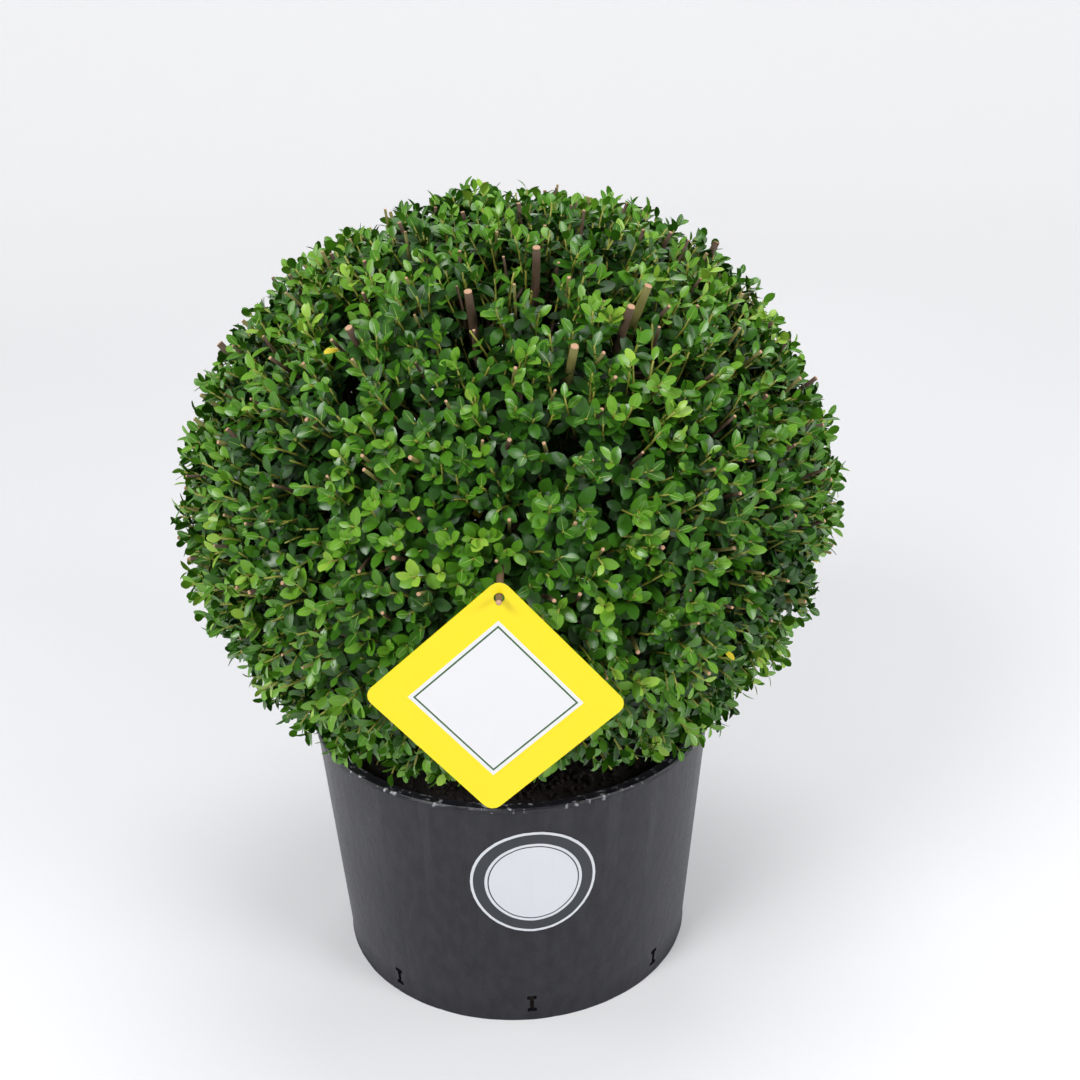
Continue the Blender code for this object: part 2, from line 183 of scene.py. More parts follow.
def ramp(tree, source, stops):  # a smooth scale of colours or greys
    node = tree.nodes.new("ShaderNodeValToRGB")
    while len(node.color_ramp.elements) < len(stops):
        node.color_ramp.elements.new(0.5)
    for element, (position, colour) in zip(node.color_ramp.elements, stops):
        element.position = position
        element.color = (*colour, 1) if isinstance(colour, tuple) else (colour, colour, colour, 1)
    tree.links.new(source, node.inputs[0])
    return node.outputs[0]


def newMaterial(name, colour, roughness, **sockets):
    material = bpy.data.materials.new(name)
    material.use_nodes = True
    shader = material.node_tree.nodes["Principled BSDF"]
    shader.inputs["Base Color"].default_value = (*colour, 1)
    shader.inputs["Roughness"].default_value = roughness
    for key, value in sockets.items():
        shader.inputs[key.replace("_", " ")].default_value = value
    return material


def paintOver(tree, colour, mask):  # mixes a colour over what the shader has so far: sockets 6 and 7
    socket = tree.nodes["Principled BSDF"].inputs["Base Color"]
    mix = addNode(tree, "ShaderNodeMix", data_type="RGBA")
    if socket.links:
        tree.links.new(socket.links[0].from_socket, mix.inputs[6])
    else:
        mix.inputs[6].default_value = socket.default_value
    mix.inputs[7].default_value = (*colour, 1)
    tree.links.new(mask, mix.inputs[0])
    tree.links.new(mix.outputs[2], socket)


def noiseGroup():  # patches, fine grain and a relief, from the place on the piece
    tree = bpy.data.node_groups.new("surfaceNoise", "ShaderNodeTree")
    wanted = {"Scale": ("NodeSocketFloat", 20), "Stretch": ("NodeSocketVector", (1, 1, 1)),
              "Height": ("NodeSocketFloat", 0.5)}
    for label, (kind, value) in wanted.items():
        socket = tree.interface.new_socket(label, in_out="INPUT", socket_type=kind)
        socket.default_value = value
    results = {"Patches": "NodeSocketFloat", "Fine": "NodeSocketFloat", "Normal": "NodeSocketVector"}
    for label, kind in results.items():
        tree.interface.new_socket(label, in_out="OUTPUT", socket_type=kind)
    source = tree.nodes.new("NodeGroupInput")
    result = tree.nodes.new("NodeGroupOutput")
    coordinates = tree.nodes.new("ShaderNodeTexCoord")
    stretch = addNode(tree, "ShaderNodeVectorMath", operation="MULTIPLY")
    coarse = addNode(tree, "ShaderNodeTexNoise", Detail=3.0, Roughness=0.55)
    fine = addNode(tree, "ShaderNodeTexNoise", Detail=6.0, Roughness=0.65)
    bump = addNode(tree, "ShaderNodeBump", Distance=grain["relief"])
    link = tree.links.new
    link(coordinates.outputs["Object"], stretch.inputs[0])
    link(source.outputs["Stretch"], stretch.inputs[1])
    for noise in (coarse, fine):
        link(stretch.outputs[0], noise.inputs["Vector"])
    link(source.outputs["Scale"], coarse.inputs["Scale"])
    link(calculate(tree, "MULTIPLY", source.outputs["Scale"], grain["finer"]), fine.inputs["Scale"])
    both = calculate(tree, "MULTIPLY_ADD", fine.outputs[0], grain["fineShare"], coarse.outputs[0])
    link(both, bump.inputs["Height"])
    link(source.outputs["Height"], bump.inputs["Strength"])
    link(coarse.outputs[0], result.inputs["Patches"])
    link(fine.outputs[0], result.inputs["Fine"])
    link(bump.outputs[0], result.inputs["Normal"])
    return tree


surfaceNoise = noiseGroup()


def noisyMaterial(name, stops, scale, stretch, height, rough, **sockets):  # patchy colour, grain and gloss
    material = newMaterial(name, stops[0][1], 0.5, **sockets)
    tree = material.node_tree
    shader = tree.nodes["Principled BSDF"]
    noise = tree.nodes.new("ShaderNodeGroup")
    noise.node_tree = surfaceNoise
    noise.inputs["Scale"].default_value = scale
    noise.inputs["Stretch"].default_value = stretch
    noise.inputs["Height"].default_value = height
    tree.links.new(ramp(tree, noise.outputs["Patches"], stops), shader.inputs["Base Color"])
    gloss = mapRange(tree, noise.outputs["Fine"], grain["span"], rough)
    tree.links.new(gloss, shader.inputs["Roughness"])
    tree.links.new(noise.outputs["Normal"], shader.inputs["Normal"])
    return material


barkMaterial = noisyMaterial("bark", [(0.30, (0.045, 0.032, 0.022)), (0.70, (0.20, 0.155, 0.11))],
                             scale=90, stretch=(1, 1, 0.35), height=0.8, rough=(0.75, 0.95))
print("materials ready")

# Crown's rule, as in the CAD source
crown = {"centre": np.array([0.004, 0.0, 0.472]), "radius": 0.312, "up": 0.300, "down": 0.270}
lump = {"count": 16, "height": 0.009, "outward": 0.6, "width": math.radians(24), "span": 1.7, "stray": 0.3}
skirt = {"lowest": 0.2585, "lift": 0.050, "facing": math.radians(-68), "width": math.radians(34)}
hollow = {"radius": 0.195, "up": 0.185}
tagLow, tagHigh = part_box("hang_tag")
tagGap = 0.006


def makeLumps():  # bulges and dips, as directions and heights
    draw = random.Random(seed)
    ways, heights = [], []
    for i in range(lump["count"]):
        high = 1 - lump["span"] * (i + 0.5) / lump["count"]
        turn = i * goldenTurn + draw.uniform(-lump["stray"], lump["stray"])
        flat = math.sqrt(1 - high * high)
        ways.append((flat * math.cos(turn), flat * math.sin(turn), high))
        heights.append(draw.uniform(-lump["height"], lump["height"] * lump["outward"]))
    return np.array(ways), np.array(heights)


lumpWays, lumpHeights = makeLumps()


def outlinePoint(ways, depth):  # the point a given depth inside the clipped outline
    angles = np.arccos(np.clip(ways @ lumpWays.T, -1, 1))
    out = np.exp(-(angles / lump["width"]) ** 2) @ lumpHeights - depth
    half = np.where(ways[:, 2] > 0, crown["up"], crown["down"]) + out
    wide = crown["radius"] + out
    return crown["centre"] + ways * np.stack([wide, wide, half], axis=1)


def outlineNormal(ways):
    half = np.where(ways[:, 2] > 0, crown["up"], crown["down"])
    wide = np.full(len(ways), crown["radius"])
    return unit(ways / np.stack([wide, wide, half], axis=1))


def overshoot(points):  # how far points lie outside the clipped outline
    away = points - crown["centre"]
    outline = outlinePoint(unit(away), 0) - crown["centre"]
    return np.linalg.norm(away, axis=1) - np.linalg.norm(outline, axis=1)


def lowestAt(points):  # the skirt is lifted where the soil shows
    facing = np.arctan2(points[:, 1], points[:, 0]) - skirt["facing"]
    facing = (facing + math.pi) % (2 * math.pi) - math.pi
    return skirt["lowest"] + skirt["lift"] * np.exp(-(facing / skirt["width"]) ** 2)


def keepsClear(points):  # above the skirt and behind the tag
    x, y, z = points.T
    beside = (x > tagLow.x - tagGap) & (x < tagHigh.x + tagGap)
    level = (z > tagLow.z - tagGap) & (z < tagHigh.z + tagGap)
    return (z > lowestAt(points)) & ~(beside & level & (y < tagLow.y + tagGap))


def wayOf(turn, rise):  # degrees round from the front, and up from the crown's centre
    flat, angle = math.cos(math.radians(rise)), math.radians(turn) - math.pi / 2
    return np.array([flat * math.cos(angle), flat * math.sin(angle), math.sin(math.radians(rise))])


def degreesFrom(ways, turn, rise):
    return np.degrees(np.arccos(np.clip(ways @ wayOf(turn, rise), -1, 1)))


def spiral(layer):  # even directions over the crown
    i = np.arange(layer["count"])
    z = layer["highest"] - (layer["highest"] - layer["lowest"]) * (i + 0.5) / layer["count"]
    flat = np.sqrt(1 - z * z)
    return np.stack([flat * np.cos(i * goldenTurn), flat * np.sin(i * goldenTurn), z], axis=1)


def strayed(layer):
    return unit(spiral(layer) + play(layer["stray"], layer["count"], 3))


# Trunk and boughs with ridged bark: each limb's relief has a length, a depth and a salt for its draws
bark = {"waves": 26, "finest": 16, "slant": 260, "fall": 0.6, "plate": 0.6}
trunk = {"foot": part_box("trunk")[0].z, "top": 0.420, "soil": 0.234, "lean": np.array([0.012, 0.006, 0]),
         "radii": (0.031, 0.024, 0.0205, 0.019, 0.0175, 0.0155, 0.0125), "flare": 1.25, "rings": 150,
         "sides": 72, "bark": (0.19, 0.0009), "salt": 1}
bough = {"count": 7, "low": 0.272, "high": 0.368, "base": 0.0095, "tip": 0.0055, "rings": 70, "sides": 28,
         "bark": (0.22, 0.0004), "salt": 2, "stray": 0.15, "rise": 8, "steeper": 44, "into": 0.03,
         "sag": 0.022, "swell": 0.012, "knee": (0.55, 0.45)}
leader = {"rings": 24, "sides": 20, "bark": (0.25, 0.0004), "base": 0.95, "tip": 0.005, "into": 0.02,
          "sway": 0.004, "salt": 30}


def trunkCentre(z):
    share = (z - trunk["soil"]) / (trunk["top"] - trunk["soil"])
    z = np.asarray(z, float)
    return np.sin(share * math.pi / 2)[..., None] * trunk["lean"] + z[..., None] * up


def barkRelief(limb, index=0):  # plates and furrows that run along the limb
    draw = np.random.default_rng(seed + limb["salt"] + index)
    length, depth = limb["bark"]
    turn = turnsOf(limb["sides"])[None]
    along = np.linspace(0, length, limb["rings"])[:, None]
    relief = np.zeros((limb["rings"], limb["sides"]))
    for k in range(bark["waves"]):
        waves = draw.integers(1, bark["finest"])
        slant = along * draw.uniform(-bark["slant"], bark["slant"])
        relief += np.sin(waves * turn + slant + draw.uniform(0, anyPhase)) / (2 + waves) ** bark["fall"]
    relief /= np.abs(relief).max()
    return depth * (1 - 2 * np.abs(relief) ** bark["plate"])


trunkHeights = np.linspace(trunk["foot"], trunk["top"], trunk["rings"])
knotShares = np.arange(len(trunk["radii"])) / (len(trunk["radii"]) - 1)
knots = trunk["foot"] + (trunk["top"] - trunk["foot"]) * knotShares ** trunk["flare"]
trunkRadii = np.interp(trunkHeights, knots, trunk["radii"])[:, None] + barkRelief(trunk)
trunkPath = trunkCentre(trunkHeights)[None]
keepPiece(tubePiece("trunkBark", trunkPath, trunkRadii[None], trunk["sides"], barkMaterial), "bark", "trunk")


def boughPaths():
    draw = random.Random(seed + 1)
    paths = []
    for index in range(bough["count"]):
        share = index / (bough["count"] - 1)
        root = trunkCentre(bough["low"] + (bough["high"] - bough["low"]) * share)
        turn = index * goldenTurn + draw.uniform(-bough["stray"], bough["stray"])
        rise = math.radians(bough["rise"] + bough["steeper"] * share)
        out = np.array([math.cos(rise) * math.cos(turn), math.cos(rise) * math.sin(turn), math.sin(rise)])
        reach = out * np.array([hollow["radius"], hollow["radius"], hollow["up"]])
        tip = crown["centre"] + reach + out * bough["into"]
        knee = root * bough["knee"][0] + tip * bough["knee"][1] - up * bough["sag"] + out * bough["swell"]
        paths.append(bend(root[None], knee[None], tip[None], bough["rings"])[0])
    return np.array(paths)


boughs = boughPaths()
boughRadii = np.linspace(bough["base"], bough["tip"], bough["rings"])[None, :, None]
boughRadii = boughRadii + np.array([barkRelief(bough, i) for i in range(bough["count"])])
boughNames = [f"bough_{i + 1}" for i in range(bough["count"])]
keepPiece(tubePiece("boughBark", boughs, boughRadii, bough["sides"], barkMaterial), "bark", *boughNames)
print("limbs ready")

# The trunk's leader, and branches carried on from the limbs into the leafy shell
branch = {"count": 190, "highest": 0.985, "lowest": -0.66, "depth": 0.075, "base": 0.0036, "tip": 0.0015,
          "girth": (0.8, 1.2), "rings": 8, "sides": 6, "boughFrom": 38, "boughStep": 6, "leaderFrom": 4,
          "leaderStep": 3, "downhill": 1.3, "level": 0.02, "stray": 0.02, "sag": 0.012, "kink": 0.002}
leaderFoot = trunkCentre(trunk["top"])
leaderTop = crown["centre"] + up * (hollow["up"] + leader["into"])
leaderKnee = (leaderFoot + leaderTop) / 2 + leader["sway"]
leaderPath = bend(leaderFoot[None], leaderKnee[None], leaderTop[None], leader["rings"])
leaderBase = trunk["radii"][-1] * leader["base"]
leaderRadii = np.linspace(leaderBase, leader["tip"], leader["rings"])[None, :, None]
leaderRadii = leaderRadii + barkRelief(leader)
keepPiece(tubePiece("leaderBark", leaderPath, leaderRadii, leader["sides"], barkMaterial), "bark", "crown")

boughFeeders = boughs[:, branch["boughFrom"]::branch["boughStep"]].reshape(-1, 3)
feeders = np.concatenate([boughFeeders, leaderPath[0, branch["leaderFrom"]::branch["leaderStep"]]])
branchEnds = outlinePoint(spiral(branch), branch["depth"])
drop = np.maximum(0, feeders[None, :, 2] - branchEnds[:, None, 2] + branch["level"])
cost = np.linalg.norm(branchEnds[:, None] - feeders[None], axis=2) + branch["downhill"] * drop
branchRoots = feeders[np.argmin(cost, axis=1)]
branchKnees = (branchRoots * 0.5 + branchEnds * 0.5) + play(branch["stray"], branch["count"], 3)
branches = bend(branchRoots, branchKnees - up * branch["sag"], branchEnds, branch["rings"])
branches[:, 1:-1] += play(branch["kink"], branch["count"], branch["rings"] - 2, 3)
branchRadii = np.linspace(branch["base"], branch["tip"], branch["rings"])[None]
branchRadii = branchRadii * spread(*branch["girth"], branch["count"], 1)
keepPiece(tubePiece("branches", branches, branchRadii, branch["sides"], barkMaterial), "bark", "crown")

# Shoots in tufts, thinner at openings: degrees round from the front and up, and their width
tuft = {"count": 520, "highest": 0.995, "lowest": -0.80, "stray": 0.03, "pull": 0.26,
        "reach": (-0.005, 0.004), "sway": 0.22}
shoot = {"count": 4100, "highest": 0.999, "lowest": -0.86, "stray": 0.022, "root": 0.054,
         "sunk": (-0.006, 0.010), "short": (0.006, 0.018), "inside": 0.006, "knee": 0.004, "sway": 0.42,
         "lift": 0.30, "droop": 0.50, "droopFrom": -0.30, "droopOver": 0.35}
inner = {"count": 760, "highest": 0.995, "lowest": -0.60, "stray": 0.05, "depth": 0.040}
openings = [(-7.7, 49, 7.4), (10.7, 59, 5.6), (11.7, 29.8, 5.2), (28, 41, 3.8), (35, 46, 3.6),
            (-33, 38, 3.8), (-62, 34, 5.0), (150, 44, 6.0), (-150, 30, 5.0), (95, 40, 5.4), (70, 60, 5.0),
            (178, 15, 5.0)]
thinning = {"most": 0.92, "edge": 1.35, "leafless": 0.42}
tuftWays = strayed(tuft)
shootWays = strayed(shoot)
tuftOf = np.argmax(shootWays @ tuftWays.T, axis=1)
shootWays = unit(shootWays + (tuftWays[tuftOf] - shootWays) * tuft["pull"])
kept = np.ones(shoot["count"], bool)
for turn, rise, wide in openings:
    bareness = np.clip(thinning["edge"] - degreesFrom(shootWays, turn, rise) / wide, 0, 1)
    kept &= chance.random(shoot["count"]) > thinning["most"] * bareness
shootWays, tuftOf = shootWays[kept], tuftOf[kept]
innerWays = strayed(inner)  # a thin layer of shoots further in
sunk = np.concatenate([np.zeros(len(shootWays)), np.full(inner["count"], inner["depth"])])
shootWays = np.concatenate([shootWays, innerWays])
tuftOf = np.concatenate([tuftOf, np.argmax(innerWays @ tuftWays.T, axis=1)])
count = len(shootWays)
tuftReach = spread(*tuft["reach"], tuft["count"])
tuftSway = play(tuft["sway"], tuft["count"], 3)
normals = outlineNormal(shootWays)
hang = np.clip((shoot["droopFrom"] - shootWays[:, 2]) / shoot["droopOver"], 0, 1)  # the lowest shoots droop
ahead = normals + up * (shoot["lift"] - shoot["droop"] * hang[:, None])
ahead = unit(ahead + play(1, count, 3) * shoot["sway"] + tuftSway[tuftOf])
roots = outlinePoint(shootWays, shoot["root"] + sunk + spread(*shoot["sunk"], count))
tips = roots + ahead * (shoot["root"] + tuftReach[tuftOf] - spread(*shoot["short"], count))[:, None]
tips = tips - ahead * np.clip(overshoot(tips) + shoot["inside"], 0, None)[:, None]
knees = (roots + tips) / 2 + play(shoot["knee"], count, 3)
kept = keepsClear(tips) & keepsClear(knees)
roots, knees, tips, ahead, normals, tuftOf = (v[kept] for v in (roots, knees, tips, ahead, normals, tuftOf))
count = len(roots)
print("shoots", count)

twig = {"radius": 0.0012, "base": 0.0016, "join": 1.1, "tip": 0.62, "girth": (0.85, 1.2), "oldRings": 5,
        "youngRings": 4, "sides": 4, "nearRing": 5, "knee": 0.006, "sag": 0.004}
nearest = np.argmin(np.linalg.norm(roots[:, None] - branches[None, :, twig["nearRing"]], axis=2), axis=1)
joints = branches[nearest, chance.integers(branch["rings"] // 2, branch["rings"], count)]
oldKnees = (joints + roots) / 2 + play(twig["knee"], count, 3) - up * twig["sag"]
oldWood = bend(joints, oldKnees, roots, twig["oldRings"])
oldRadii = np.linspace(twig["base"], twig["radius"] * twig["join"], twig["oldRings"])[None]
oldRadii = oldRadii * spread(*twig["girth"], count, 1)
youngWood = bend(roots, knees, tips, twig["youngRings"])
youngRadii = np.linspace(twig["radius"], twig["radius"] * twig["tip"], twig["youngRings"])[None]
youngRadii = youngRadii * spread(*twig["girth"], count, 1)
oldMaterial = newMaterial("oldTwigs", (0.105, 0.072, 0.045), 0.8)
youngMaterial = newMaterial("youngTwigs", (0.30, 0.31, 0.045), 0.5)
keepPiece(tubePiece("oldTwigs", oldWood, oldRadii, twig["sides"], oldMaterial), "bark", "crown")
keepPiece(tubePiece("youngTwigs", youngWood, youngRadii, twig["sides"], youngMaterial), "bark", "crown")

# Leaves spaced back from each shoot's tip: angles in degrees, rows as shares of length and width
leaf = {"length": 0.0185, "width": 0.0104, "rows": ((0.13, 0.32), (0.36, 0.88), (0.62, 1.0), (0.87, 0.64)),
        "fold": 0.06, "curl": 0.20, "curls": (0.3, 1.5), "count": 10, "spacing": 0.0047, "play": 0.35,
        "first": 26, "opening": 7.5, "widest": 82, "lean": 14, "roll": 0.36, "outward": 0.30,
        "skyward": 0.10, "smallest": 0.66, "growth": 0.11, "lengths": (0.80, 1.14), "widths": (0.88, 1.12),
        "leafy": 0.93, "missing": 0.06, "past": 0.007}
leafPolygons = [(0, 2, 1), (0, 3, 2)]
for row in range(len(leaf["rows"]) - 1):
    a = 1 + row * 3
    leafPolygons += [(a, a + 1, a + 4, a + 3), (a + 1, a + 2, a + 5, a + 4)]
leafPolygons += [(10, 11, 13), (11, 12, 13)]

grid = (count, leaf["count"])
side = unit(np.cross(ahead, unit(play(1, count, 3))))
other = np.cross(ahead, side)
phase = spread(0, 2 * math.pi, count)
rank = np.arange(leaf["count"])[None]
azimuth = (phase[:, None] + rank * goldenTurn + play(leaf["play"], *grid))[..., None]
back = (rank + play(leaf["play"], *grid)) * leaf["spacing"]
lengths = np.linalg.norm(tips - roots, axis=1)[:, None]
onShoot = np.clip(1 - back / lengths, 0, 1)[..., None]
stalks = curvePoint(roots[:, None], knees[:, None], tips[:, None], onShoot)
away = np.clip(leaf["first"] + rank * leaf["opening"], 0, leaf["widest"]) + play(leaf["lean"], *grid)
away = np.radians(away)[..., None]
radial = side[:, None] * np.cos(azimuth) + other[:, None] * np.sin(azimuth)
along = ahead[:, None] * np.cos(away) + radial * np.sin(away)
above = ahead[:, None] * np.sin(away) - radial * np.cos(away)
above = above + play(leaf["roll"], *grid, 3) + normals[:, None] * leaf["outward"] + up * leaf["skyward"]
size = np.clip(leaf["smallest"] + rank * leaf["growth"], 0, 1.0) * spread(*leaf["lengths"], *grid)
width = size * spread(*leaf["widths"], *grid)
present = ((back < lengths * leaf["leafy"]) & (chance.random(grid) > leaf["missing"])).ravel()

stalks, along, above = (v.reshape(-1, 3)[present] for v in (stalks, along, above))
size, width = size.ravel()[present], width.ravel()[present]
shootOf = np.repeat(np.arange(count), leaf["count"])[present]
age = np.tile(np.arange(leaf["count"]), count)[present]
along = unit(along)
across = unit(np.cross(along, above))
above = np.cross(across, along)
ends = stalks + along * (leaf["length"] * size)[:, None]
fits = keepsClear(ends) & keepsClear(stalks) & (overshoot(ends) < leaf["past"])
leafWays = unit((ends - crown["centre"]) / np.array([crown["radius"], crown["radius"], crown["up"]]))
for turn, rise, wide in openings:
    fits &= degreesFrom(leafWays, turn, rise) > wide * thinning["leafless"]
stalks, along, across, above = (v[fits] for v in (stalks, along, across, above))
size, width, shootOf, age = (v[fits] for v in (size, width, shootOf, age))
curl = leaf["curl"] * spread(*leaf["curls"], len(stalks))
straight = np.zeros(len(stalks))


def leafPoint(share, aside, lift):  # on every leaf at once; the lift is a share of its length
    reach = leaf["length"] * size
    sag = reach * (-curl * share ** 2 + lift)
    return stalks + along * (reach * share)[:, None] + across * aside[:, None] + above * sag[:, None]


leafPoints = [stalks]
for share, wide in leaf["rows"]:
    half = leaf["width"] / 2 * wide * width
    leafPoints += [leafPoint(share, s * half, abs(s) * leaf["fold"] * wide) for s in (-1, 0, 1)]
leafPoints.append(leafPoint(1.0, straight, 0.0))
leafVerts = np.stack(leafPoints, axis=1)

# the darkest tint is reached only through the painted shade of depth computed below
tints = {"leavesShadedInner": ((0.013, 0.062, 0.004), 0.45), "leavesDeep": ((0.018, 0.081, 0.005), 0.42),
         "leavesDark": ((0.035, 0.133, 0.007), 0.30), "leavesMid": ((0.074, 0.225, 0.012), 0.26),
         "leavesFresh": ((0.140, 0.330, 0.022), 0.29), "leavesBright": ((0.280, 0.480, 0.045), 0.36),
         "leavesYellow": ((0.80, 0.62, 0.030), 0.5)}
mood = {"least": 0.10, "tuft": 0.50, "shoot": 0.60, "young": 0.10, "youngLeaves": 3, "deep": 0.75,
        "skin": 0.014, "shade": 0.03, "steps": (-0.02, 0.32, 0.60, 0.84, 1.10), "yellow": 0.0012,
        "specular": 0.42}
moods = mood["least"] + mood["tuft"] * chance.random(tuft["count"])[tuftOf]
moods = moods + mood["shoot"] * chance.random(count)
middles = stalks + along * (leaf["length"] * 0.5 * size)[:, None]
# painted shade: the deeper a leaf lies inside the crown's outline, the darker its tint
shade = np.clip(-overshoot(middles) - mood["skin"], 0, mood["shade"]) / mood["shade"]
moods = moods[shootOf] + np.where(age < mood["youngLeaves"], mood["young"], 0.0) - shade * mood["deep"]
tintOf = np.digitize(moods, mood["steps"])  # darker further in as painted shade, and partly the older inner leaves' own darker colour; fresher at the tips
tintOf[chance.random(len(tintOf)) < mood["yellow"]] = len(tints) - 1
for number, (name, (colour, roughness)) in enumerate(tints.items()):
    material = newMaterial(name, colour, roughness, Specular_IOR_Level=mood["specular"])
    keepPiece(tiledPiece(name, leafVerts[tintOf == number], leafPolygons, material), "foliage", "crown")
    print(name, int((tintOf == number).sum()), "leaves")

# Pale midribs on the outer leaves
vein = {"half": 0.00030, "taper": 1.15, "lift": 0.007, "shares": (0.04, 0.36, 0.64, 0.90), "depth": 0.014,
        "colour": (0.30, 0.46, 0.10)}
veinPoints = [leafPoint(share, straight + s * vein["half"] * (vein["taper"] - share), vein["lift"])
              for share in vein["shares"] for s in (-1, 1)]
outer = overshoot(leafPoint(0.5, straight, 0.0)) > -vein["depth"]
veinVerts = np.stack(veinPoints, axis=1)[outer]
veinFaces = [(0, 1, 3, 2), (2, 3, 5, 4), (4, 5, 7, 6)]
veinMaterial = newMaterial("leafVeins", vein["colour"], 0.4)
keepPiece(tiledPiece("leafVeins", veinVerts, veinFaces, veinMaterial), "foliage", "crown")
print("veins", len(veinVerts))

# Clipped stubs with pale cut ends: the thick ones placed one by one, the thin ones all over
stubColours = {"stubsBrown": (0.085, 0.050, 0.028), "stubsOlive": (0.175, 0.165, 0.040)}
stubs = [(-8, 52, 0.050, "stubsBrown"), (11, 60, 0.062, "stubsBrown"), (14, 40, 0.058, "stubsOlive"),
         (29, 46, 0.054, "stubsBrown"), (36, 49, 0.056, "stubsOlive"), (-33, 43, 0.052, "stubsBrown"),
         (95, 50, 0.054, "stubsBrown"), (160, 38, 0.052, "stubsOlive"), (-140, 55, 0.056, "stubsBrown"),
         (-85, 30, 0.052, "stubsBrown")]
stub = {"radius": 0.0034, "lift": 0.5, "taper": (1.12, 0.95), "rings": 5, "sides": 8, "root": 0.052,
        "past": 0.002, "kink": 0.002}
clipped = {"count": 330, "highest": 0.99, "lowest": -0.25, "stray": 0.05, "radius": 0.0015,
           "girth": (0.7, 1.35), "reach": 0.046, "reaches": (0.78, 1.12), "lift": (0.1, 0.7), "sway": 0.25,
           "brown": 0.5}
cap = {"steps": (-0.0004, 0.0003, 0.0005), "radii": (0.97, 0.93, 0.6), "colour": (0.55, 0.33, 0.20)}
thick, thin = len(stubs), clipped["count"]
cutWays = np.concatenate([[wayOf(turn, rise) for turn, rise, reach, name in stubs], strayed(clipped)])
lifts = np.concatenate([np.full(thick, stub["lift"]), spread(*clipped["lift"], thin)])
sways = np.concatenate([np.zeros((thick, 3)), play(clipped["sway"], thin, 3)])
cutAhead = unit(outlineNormal(cutWays) + up * lifts[:, None] + sways)
cutRoots = outlinePoint(cutWays, stub["root"])
cutReach = np.concatenate([[reach for turn, rise, reach, name in stubs],
                           clipped["reach"] * spread(*clipped["reaches"], thin)])
cutTips = cutRoots + cutAhead * cutReach[:, None]
cutTips -= cutAhead * np.clip(overshoot(cutTips) - stub["past"], 0, None)[:, None]
cutRadius = np.concatenate([np.full(thick, stub["radius"]),
                            clipped["radius"] * spread(*clipped["girth"], thin)])
kept = keepsClear(cutTips)
cutRoots, cutTips, cutRadius = cutRoots[kept], cutTips[kept], cutRadius[kept]
cutKnees = (cutRoots + cutTips) / 2 + play(stub["kink"], len(cutRoots), 3)
cutPaths = bend(cutRoots, cutKnees, cutTips, stub["rings"])
cutRadii = cutRadius[:, None] * np.linspace(*stub["taper"], stub["rings"])[None]
brown = chance.random(len(cutRoots)) < clipped["brown"]
brown[:thick] = [name == "stubsBrown" for turn, rise, reach, name in stubs]
for mask, (name, colour) in zip((brown, ~brown), stubColours.items()):
    piece = tubePiece(name, cutPaths[mask], cutRadii[mask], stub["sides"], newMaterial(name, colour, 0.7))
    keepPiece(piece, "bark", "crown")
facing = unit(cutTips - cutPaths[:, -2])
capPaths = np.stack([cutTips + facing * step for step in cap["steps"]], axis=1)
capRadii = cutRadius[:, None] * np.array(cap["radii"])[None]
capMaterial = newMaterial("cutEnds", cap["colour"], 0.8)
keepPiece(tubePiece("cutEnds", capPaths, capRadii, stub["sides"], capMaterial), "bark", "crown")

# Cut twig that carries the tag
peg = {"place": np.array([0.001, -0.322, 0.5205]), "reach": 0.011, "radius": 0.0023, "root": 0.062,
       "taper": (1.3, 0.98), "rings": 8, "sides": 12, "cap": (0.0003, -0.0004),
       "capRadii": (0.0022, 0.0019)}
inward = np.array([0.0, 1.0, 0.0])
pegEnd = peg["place"] - inward * peg["reach"]
pegRoot = peg["place"] + inward * peg["root"]
pegPath = bend(pegRoot[None], peg["place"][None], pegEnd[None], peg["rings"])
pegTaper = [peg["radius"] * share for share in peg["taper"]]
pegRadii = np.linspace(*pegTaper, peg["rings"])[None]
pegMaterial = newMaterial("tagTwig", (0.16, 0.10, 0.05), 0.7)
keepPiece(tubePiece("tagTwig", pegPath, pegRadii, peg["sides"], pegMaterial), "bark", "crown")
pegCap = np.stack([pegEnd + inward * step for step in peg["cap"]])[None]
pegCapMaterial = newMaterial("tagTwigEnd", (0.62, 0.36, 0.22), 0.8)
pegCapPiece = tubePiece("tagTwigEnd", pegCap, np.array([peg["capRadii"]]), peg["sides"], pegCapMaterial)
keepPiece(pegCapPiece, "bark", "crown")
print("cut ends ready")

# Potting mix: fine crumbs on the soil, each a stretched and uneven icosahedron
crumb = {"count": 2600, "size": 0.0030, "rim": 0.180, "middle": 0.03, "level": 0.232, "heap": 0.003,
         "sizes": (0.35, 1.0), "fines": 1.4, "stretch": (0.6, 1.5), "uneven": (0.75, 1.2)}
golden = (1 + math.sqrt(5)) / 2
ico = unit(np.array([(-1, golden, 0), (1, golden, 0), (-1, -golden, 0), (1, -golden, 0), (0, -1, golden),
                     (0, 1, golden), (0, -1, -golden), (0, 1, -golden), (golden, 0, -1), (golden, 0, 1),
                     (-golden, 0, -1), (-golden, 0, 1)], float))
neighbourly = 1.2  # neighbouring corners are nearer than this


def icoFace(corners):  # the corners of a face in the order that points it outwards, or nothing
    if any(math.dist(ico[a], ico[b]) > neighbourly for a, b in itertools.combinations(corners, 2)):
        return None
    a, b, c = ico[list(corners)]
    return corners if np.dot(np.cross(b - a, c - a), a) > 0 else corners[::-1]


